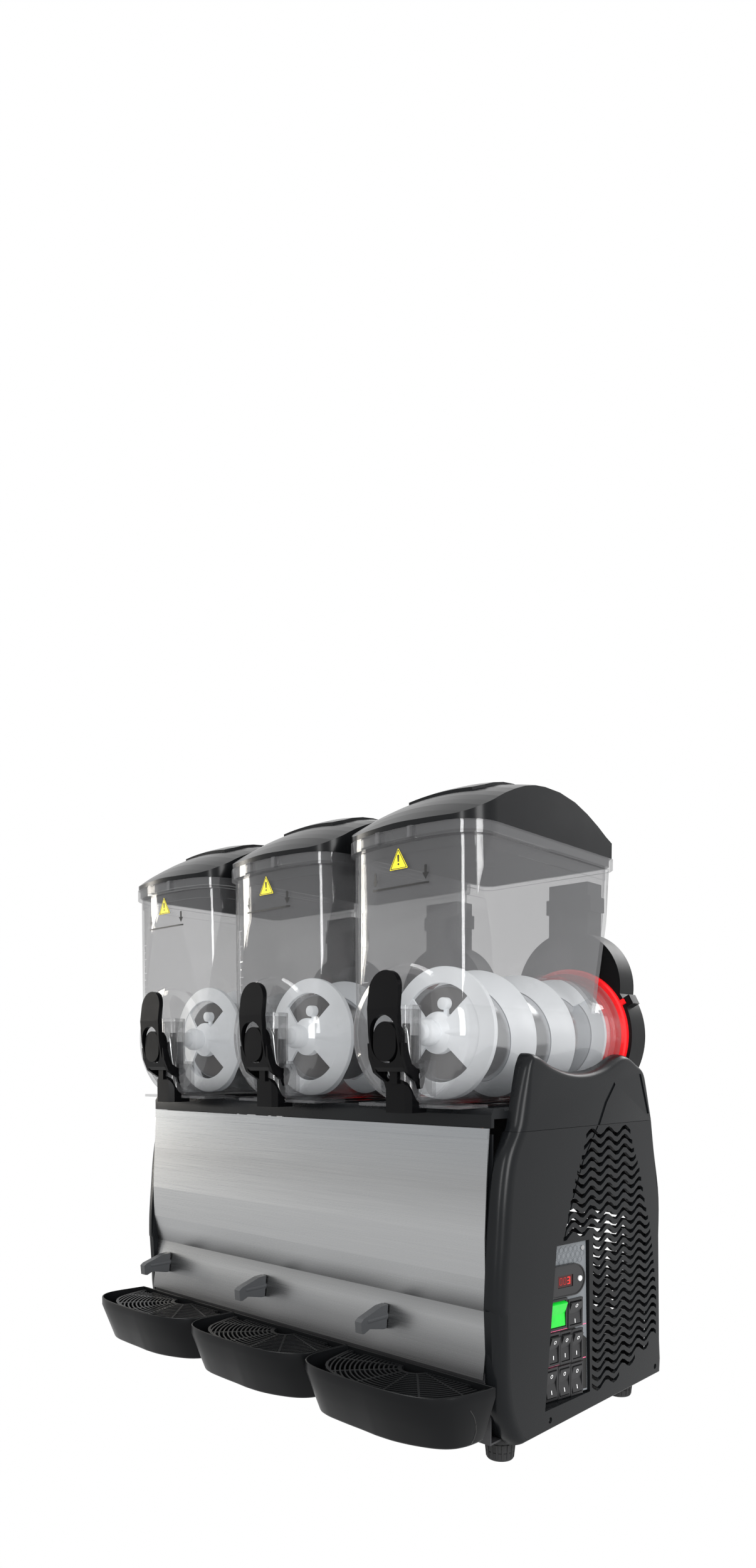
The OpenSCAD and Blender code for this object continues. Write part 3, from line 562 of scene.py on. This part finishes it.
def digit(b, ch, u, z, w, h, t, lift):
    """Seven-segment digit with its lower left corner at u, z."""
    mid = z + h / 2
    bars = {"a": (u, u + w, z + h - t, z + h), "g": (u, u + w, mid - t / 2, mid + t / 2), "d": (u, u + w, z, z + t),
            "f": (u, u + t, mid, z + h), "b": (u + w - t, u + w, mid, z + h),
            "e": (u, u + t, z, mid), "c": (u + w - t, u + w, z, mid)}
    gap = 0.12
    for s in SEGMENTS[ch]:
        u0, u1, z0, z1 = bars[s]
        b.prism(box2(u0 + gap, u1 - gap, z0 + gap, z1 - gap), on_strip, lift, lift + 0.15)


def stadium(r, half, n=64):
    """Outline with two round ends, around the controller's middle."""
    out = []
    for k in range(n):
        a = TAU * (k + 0.5) / n
        end = half if math.cos(a) > 0 else -half
        out.append((CONTROLLER[0] + end + r * math.cos(a), CONTROLLER[1] + r * math.sin(a)))
    return out


def controls():
    b = Build()
    b.prism(rounded(box2(-9.4, 13.4, 167.1, 179.4), 0.8), on_strip, 3.82, 4.1)
    b.make("display_window", M["display"], "cabinet", "controller")
    b = Build()
    digit(b, "3", 5.8, 169.4, 4.2, 7.8, 0.95, 4.12)
    b.make("display_digits", M["led"], "cabinet", "controller")
    b = Build()
    for u in (-6.6, -0.4):
        digit(b, "0", u, 169.4, 4.2, 7.8, 0.8, 4.12)
    b.make("display_zeros", M["led_dim"], "cabinet", "controller")
    b = Build()             # dark film behind the switch rows
    b.prism([(-32.4, 148), (-31.2, 158), (-24, 156), (42.4, 104), (43.6, 48.6), (-43.6, 50.4)], on_strip, 0.0, 0.04)
    b.make("switch_film", M["ink"], "cabinet", "control_face")
    b = Build()
    b.ring(stadium(16.9, 14), stadium(15.6, 14), on_strip, 4.9, 5.7)
    b.make("controller_bezel", M["switch_black"], "cabinet", "controller", smooth=40)
    b = Build()
    for i in range(8):      # raised hexagons on the plate above the controller
        for j in range(4):
            u, z = -21.5 + 7.4 * i, 192.6 + 6.4 * j
            u += 3.7 if j % 2 else 0
            on_plate = -24 + (214 - z) * -0.12 < u - 3.6 and u + 3.6 < 38.5 and z + 3.7 < 213.4
            at_screw = u > 27 and z > 199
            if on_plate and not at_screw:
                b.ring(disc(3.7, 6, u, z, math.pi / 6), disc(3.0, 6, u, z, math.pi / 6), on_strip, 0.01, 0.45)
    b.make("hexagon_relief", M["control_face"], "cabinet", "control_face")
    b = Build()
    for z in (120.3, 83.2):
        b.prism(box2(-24.4 - 19.8 * (214.4 - z) / 165.8 + 0.6, 41.5, z - 0.4, z + 0.4), on_strip, 0.01, 0.12)
    b.make("strip_lines", M["pink"], "cabinet", "control_face")
    b = Build()
    n = 20                  # round arrow: mixing
    arc = [math.radians(60 + 290 * k / n) for k in range(n + 1)]
    u, z = -28.5, 108.0
    for k in range(n):
        corners = ((3.3, arc[k]), (4.3, arc[k]), (4.3, arc[k + 1]), (3.3, arc[k + 1]))
        b.prism([(u + r * math.cos(t), z + r * math.sin(t)) for r, t in corners], on_strip, 0.01, 0.12)
    b.prism([(u + 1.9, z + 5.2), (u + 2.6, z + 1.6), (u - 0.6, z + 2.8)], on_strip, 0.01, 0.12)
    u, z = -32.5, 76.5      # snowflake: freezing
    for k in range(3):
        t = math.radians(30 + 60 * k)
        c, s = math.cos(t), math.sin(t)

        def turned(poly):
            return [(u + x * c - y * s, z + x * s + y * c) for x, y in poly]

        b.prism(turned(box2(-4.3, 4.3, -0.4, 0.4)), on_strip, 0.01 + k * 0.02, 0.12 + k * 0.02)
        for m in (-1, 1):
            for q in (-1, 1):
                barb = [(m * 2.4, 0), (m * 2.9, 0), (m * 3.9, q * 1.3), (m * 3.4, q * 1.3)]
                b.prism(turned(barb), on_strip, 0.01, 0.1)
    u, z = -33.5, 58.0      # moon: night mode
    outer, inner = [], []
    for k in range(25):
        t, q = math.radians(50 + 260 * k / 24), math.radians(84 + 192 * k / 24)
        outer.append((u + 3.9 * math.cos(t), z + 3.9 * math.sin(t)))
        inner.append((u + 1.9 + 3.3 * math.cos(q), z + 3.3 * math.sin(q)))
    for k in range(24):
        b.prism([outer[k], outer[k + 1], inner[k + 1], inner[k]], on_strip, 0.01, 0.12)
    b.make("strip_symbols", M["white_ink"], "cabinet", "control_face")


def foot_ribs():
    rib = ((0, -1.3), (1.5, -0.9), (1.5, 0.9), (0, 1.3))     # outwards and sideways
    for x in (-266, 266):
        for y in (82, 332):
            b = Build()
            for k in range(16):
                t = TAU * k / 16
                c, s = math.cos(t), math.sin(t)
                rings = []
                for r, z in ((13.0, 2.0), (14.6, 17.4)):
                    rings.append([D(x + (r + dr) * c - dt * s, y + (r + dr) * s + dt * c, z) for dr, dt in rib])
                b.sweep(rings)
            b.make(f"foot_ribs_{'r' if x > 0 else 'l'}{'f' if y < 200 else 'b'}", M["rubber"], "cabinet", "rubber")


# ---------- rounded edges of the side panels, deck with rounded horns ----------
def spline(pts, n=5):
    """Smooth curve through points."""
    out = []
    for i in range(len(pts) - 1):
        p0, p1, p2, p3 = (Vector(pts[k]) for k in (max(i - 1, 0), i, i + 1, min(i + 2, len(pts) - 1)))
        for k in range(n):
            t = k / n
            square, cube = 2 * p0 - 5 * p1 + 4 * p2 - p3, 3 * p1 - 3 * p2 + p3 - p0
            out.append(tuple(0.5 * (2 * p1 + (p2 - p0) * t + square * t * t + cube * t ** 3)))
    return out + [tuple(pts[-1])]


EDGE_X, EDGE_W = 284.3, 15.75       # where the panels' round begins, and its width up to the side face
EDGE_STEPS = 12
PROUD_FRONT, PROUD_REAR = 0.7, 0.5  # how far the round stands in front of and behind the CAD panel


def round_off(k, n=EDGE_STEPS, p=2.4):
    """Shares of the quarter round: across (towards x) and along (towards the outline)."""
    a = math.pi / 2 * k / n
    return math.cos(a) ** (2 / p), math.sin(a) ** (2 / p)


def side_edge(name, m):
    """Rounded band over the front, bottom and rear edge of a side panel."""
    up = spline([(61, 336.8), (46, 312), (38.6, 280), (34, 232), (31, 196), (30.4, 170)], 6)
    low = spline([(33.6, 159), (34, 130), (35, 96), (42, 62), (56, 36), (66, 24)], 5)
    front = up + [(30.6, 165.5), (32.4, 162)] + low
    rear = [(375, 24)] + spline([(376, 42), (366.4, 133), (367, 171), (367.5, 241), (353, 300), (345, 336.8)], 5)
    rings = []
    foot = 24               # height of the panels' lower edge
    for pts, sgn, w in ((front, 1, 16.0), (rear, -1, 7.0)):
        for y, z in pts:
            ring = []
            for shrink, order in ((0.0, range(EDGE_STEPS + 1)), (1.5, range(EDGE_STEPS, -1, -1))):
                for k in order:
                    c, s = round_off(k)
                    x = EDGE_X + (EDGE_W - shrink) * c
                    f = sgn * (w - (w + (PROUD_FRONT if sgn > 0 else PROUD_REAR) - shrink) * s)
                    b = 3 - (3.5 - shrink) * s
                    ring.append(D(m * x, y + f, z + b if z <= foot else max(z, foot + b)))
            rings.append(ring)
    b = Build()
    b.sweep(rings)
    return b.make("side_panel_edge_" + name, M["black_panel"], "cabinet", "black_panel", smooth=40)


def cheek(name, m):
    """Pillar face between the steel front and the rounded edge."""
    up = spline([(64, 337), (50, 312), (42, 280), (36.4, 240), (33.2, 205), (31.2, 170)], 5)
    low = spline([(34.4, 159), (35, 130), (36, 96), (43, 62), (57, 36), (66, 25)], 5)
    pts = up + low
    rings = []
    for y, z in pts:
        beside_steel = z > 104
        back = 17.5 if beside_steel else 8
        inner = 281.85 if beside_steel else 262
        section = ((290, -0.9), (285, -0.7), (inner + 1.2, 0), (inner, 1.2), (inner, back), (290, back))
        rings.append([D(m * x, y + dy, z) for x, dy in section])
    b = Build()
    b.sweep(rings)
    b.prism([(41.6, 104), (44, 104), (44, 335), (41.6, 335)], lambda p, h: D(m * h, p[0], p[1]), 262, 283)
    return b.make("pillar_cheek_" + name, M["black_panel"], "cabinet", "black_panel", smooth=40)


def tray_line(name, cx):
    """Painted shade along the fold on each end of a tray: a dark line lying on its wall."""
    b = Build()
    way = spline([(-3, 78), (5, 68), (10.5, 55), (10.5, 46), (8, 40.5)], 5)     # y and z
    for m in (-1, 1):
        xs = []
        for y, z in way:
            end = [p for p in tray_half(z, m < 0)[1] if p[0] >= 40]
            xs.append(min(end, key=lambda p: abs(p[1] - y))[0])
        for k in range(1, len(xs) - 1):
            xs[k] = (xs[k - 1] + xs[k] + xs[k + 1]) / 3
        b.sweep(wire([D(cx + m * x, y, z) for x, (y, z) in zip(xs, way)], 0.55, 6))
    b.make("tray_line_" + name, M["ink"], f"drip_tray_{name}_body", "tray_black")


def rocker_marks():
    """Printed ring and bar on each rocker, turning with it."""
    rows = (("light_switch", 21.6, 136, 8, 24.4),           # node, u, z, tilt as it stands, height
            ("mixer_switch_left", -11.8, 101.6, 8, 28.4), ("mixer_switch_middle", 6.5, 101, 8, 28.4),
            ("mixer_switch_right", 24.8, 100.4, 8, 28.4), ("mode_switch_left", -15.6, 64.8, 0, 28.4),
            ("mode_switch_middle", 4.6, 64, 0, 28.4), ("mode_switch_right", 24.8, 63.2, 0, 28.4))
    for node, u, z, rest, h in rows:
        a = math.radians(rest)

        def face(p, lift):
            # rocker's own face: 2.8 high at its middle, 5.6 at its ends
            v = p[1]
            w = 2.8 + 2.8 * abs(v) / (h / 2) + lift
            return C(u + p[0], z - w * math.sin(a) + v * math.cos(a), -2 + w * math.cos(a) + v * math.sin(a))

        b = Build()
        for k in range(16):
            t0, t1 = TAU * k / 16, TAU * (k + 1) / 16
            corners = ((1.5, t0), (2.2, t0), (2.2, t1), (1.5, t1))
            b.prism([(r * math.cos(t) * 0.8, 8.6 + r * math.sin(t)) for r, t in corners], face, 0.02, 0.14)
        b.prism([(-0.45, -10.6), (0.45, -10.6), (0.45, -6.4), (-0.45, -6.4)], face, 0.02, 0.14)
        b.make("mark_" + node, M["white_ink"], node + "_body", "switch_black")


def carve(ob, cutters):
    """Cuts the cutters out of ob's mesh and removes them."""
    for c in cutters:
        md = ob.modifiers.new("cut", "BOOLEAN")
        md.operation, md.solver, md.object = "DIFFERENCE", "EXACT", c
    dg = bpy.context.evaluated_depsgraph_get()
    me = bpy.data.meshes.new_from_object(ob.evaluated_get(dg))
    ob.modifiers.clear()
    ob.data = me
    for c in cutters:
        bpy.data.objects.remove(c)


def cutter(poly, a, b):
    """Prism across x from a to b over an outline in y and z."""
    cb = Build()
    cb.prism(poly, lambda p, h: D(h, p[0], p[1]), a, b)
    me = bpy.data.meshes.new("cutter")
    me.from_pydata([tuple(v) for v in cb.v], [], cb.f)
    bm = bmesh.new()
    bm.from_mesh(me)
    bmesh.ops.recalc_face_normals(bm, faces=bm.faces)
    bm.to_mesh(me)
    bm.free()
    ob = bpy.data.objects.new("cutter", me)
    scene.collection.objects.link(ob)
    return ob


def deck():
    """The CAD deck between its horns, and rounded horns in their place."""
    src = NODES["top_deck"]
    bm = bmesh.new()
    bm.from_mesh(src.data)
    bmesh.ops.transform(bm, matrix=src.matrix_world, verts=bm.verts)
    bmesh.ops.remove_doubles(bm, verts=bm.verts, dist=1e-6)
    for m in (1, -1):
        r = bmesh.ops.bisect_plane(bm, geom=bm.verts[:] + bm.edges[:] + bm.faces[:], dist=1e-7,
                                   plane_co=(m * 0.2844, 0, 0), plane_no=(m, 0, 0), clear_outer=True)
        edges = [e for e in r["geom_cut"] if isinstance(e, bmesh.types.BMEdge)]
        bmesh.ops.triangle_fill(bm, edges=edges, use_beauty=True)
    bmesh.ops.recalc_face_normals(bm, faces=bm.faces)
    me = bpy.data.meshes.new("deck_middle")
    bm.to_mesh(me)
    bm.free()
    me.materials.append(M["black_panel"])
    me.shade_smooth()
    me.set_sharp_from_angle(angle=math.radians(35))
    ob = bpy.data.objects.new("deck_middle", me)
    scene.collection.objects.link(ob)
    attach(ob, "cabinet")
    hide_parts("top_deck")
    outline = [                                             # y, z and the width of the round there
        (61, SEAM_Z + 0.1, 16), (65, 346, 15.6), (71, 372, 13.5), (77, 396, 9.5), (81, 406, 8), (86, 412.6, 7.6),
        (93, 414, 7.6), (104, 411.5, 8), (122, 404.5, 9), (145, 398.4, 9), (168, 395.4, 9), (190, 395, 9),
        (212, 397, 9), (235, 402, 9), (256, 409.5, 8.6), (270, 413.6, 8), (280, 414, 8), (292, 411, 7.6),
        (306, 404.5, 7.4), (318, 399, 7), (325, 392, 7), (331, 378, 7), (345, SEAM_Z + 0.1, 7)]
    groove = [(212, 334), (230, 364), (250, 383.5), (252.5, 380.5), (234, 361), (217, 334)]
    slit = [(308, 392), (313, 392), (334, 345), (329, 345)]
    pts = spline(outline, 5)
    for name, m in (("left", -1), ("right", 1)):
        rings = []
        for k in range(EDGE_STEPS, -1, -1):
            c, s = round_off(k)
            ring = []
            for i, (y, z, w) in enumerate(pts):
                if z < 350:                                 # level near the seam, to meet the panels' round
                    ny, nz = (1, 0) if y < 200 else (-1, 0)
                else:
                    t = (Vector(pts[i + 1][:2]) - Vector(pts[i - 1][:2])).normalized()
                    ny, nz = t.y, -t.x
                f = w - (w + (PROUD_FRONT if y < 150 else PROUD_REAR)) * s
                ring.append(D(m * (EDGE_X + EDGE_W * c), y + ny * f, z + nz * f))
            rings.append(ring)
        b = Build()
        b.sweep(rings)
        h = b.make("deck_horn_" + name, M["black_panel"], "cabinet", "black_panel")
        a0, a1 = (298.6, 306) if m > 0 else (-306, -298.6)
        carve(h, [cutter(groove, a0, a1), cutter(slit, a0, a1)])
        h.data.shade_smooth()
        h.data.set_sharp_from_angle(angle=math.radians(40))


# ---------- drip trays with smooth outlines ----------
# half outlines of the rim and of the bottom, from the middle of the front to the rear
TRAY_TOP = spline([(0, -52), (20, -51.4), (40, -49.2), (56, -45.6), (69, -40), (79, -32.4), (86, -23.6),
                   (90.4, -13), (93.4, -2), (95.6, 9), (97.4, 19), (98.5, 28)], 4)
TRAY_LOW = spline([(0, -36), (20, -34.8), (38, -31.2), (54, -25.8), (65, -20.6), (73, -14.6), (78.4, -8),
                   (81.6, -1), (83.6, 6), (84.6, 13), (85, 20), (85, 26)], 4)
TRAY_TOP_L = spline([(0, -52), (20, -52), (38, -51.9), (58, -51.2), (74, -49.2), (88, -45), (98, -38.5),
                     (104, -30), (106.5, -20), (106, -8), (104, 6), (100.6, 28)], 4)
TRAY_LOW_L = spline([(0, -36), (20, -35), (38, -34.6), (56, -33.8), (70, -32.6), (82, -29.4), (90, -24),
                     (94, -16), (95, -8), (94, 2), (92, 10), (88.6, 26)], 4)
TRAY_FLOOR, TRAY_BEND, TRAY_REAR = 38.5, 84.0, 28.0     # lower edge, where the wall turns upright, rear wall
# up the outside, over the rim and down the inside: height, and distance in from the outline
TRAY_WALL = ((38.5, 2.2), (38.7, 1.0), (39.6, 0.2), (41, 0), (60, 0), (84, 0), (92.6, 0), (93.5, 0.2), (94, 0.8),
             (94, 1.4), (93.6, 1.8), (90, 1.8), (84, 1.8), (60, 1.8), (43, 1.9), (41.4, 3), (41, 5))


def tray_half(z, left=False):
    """How upright the wall is at height z, 0 to 1, and half of the outline there, from the front's middle to the
    rear. The left end is squarer."""
    h = min(1.0, (z - TRAY_FLOOR) / (TRAY_BEND - TRAY_FLOOR))
    top, low = (TRAY_TOP_L, TRAY_LOW_L) if left else (TRAY_TOP, TRAY_LOW)
    return h, [(a[0] * h + c[0] * (1 - h), a[1] * h + c[1] * (1 - h)) for a, c in zip(top, low)]


def tray(name, cx):
    def loop(z, t):
        sides = []
        for left in (False, True):
            h, half = tray_half(z, left)
            pts = []
            for i, p in enumerate(half):
                a, c = Vector(half[max(i - 1, 0)]), Vector(half[min(i + 1, len(half) - 1)])
                d = (c - a).normalized()
                y = min(p[1] + t * d.x, TRAY_REAR - 2 * (1 - h) - t)
                pts.append((0.0 if i == 0 else p[0] - t * d.y, y))
            sides.append(pts)
        return [D(cx + x, y, z) for x, y in sides[0]] + [D(cx - x, y, z) for x, y in sides[1][:0:-1]]

    b = Build()
    b.sweep([loop(z, t) for z, t in TRAY_WALL])
    for m in (-1, 1):
        b.prism(box2(m * 50 - 9, m * 50 + 9, 27, 54), lambda p, h: D(cx + p[0], p[1], h), 56, 61)     # tongue
    ob = b.make("tray_shell_" + name, M["tray_black"], f"drip_tray_{name}_body", "tray_black", smooth=35)
    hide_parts("drip_tray_" + name)


make_camera()
surroundings()
for station, sx in STATIONS:
    auger(station, sx)
    bowl_marks(station, sx)
    tap_spring(station, sx)
    tray(station, sx)
    tray_line(station, sx)
side_edge("left", -1)
side_edge("right", 1)
cheek("left", -1)
cheek("right", 1)
rocker_marks()
deck()
controls()
foot_ribs()
scene.view_settings.view_transform = "Standard"
scene.cycles.transparent_max_bounces = 40
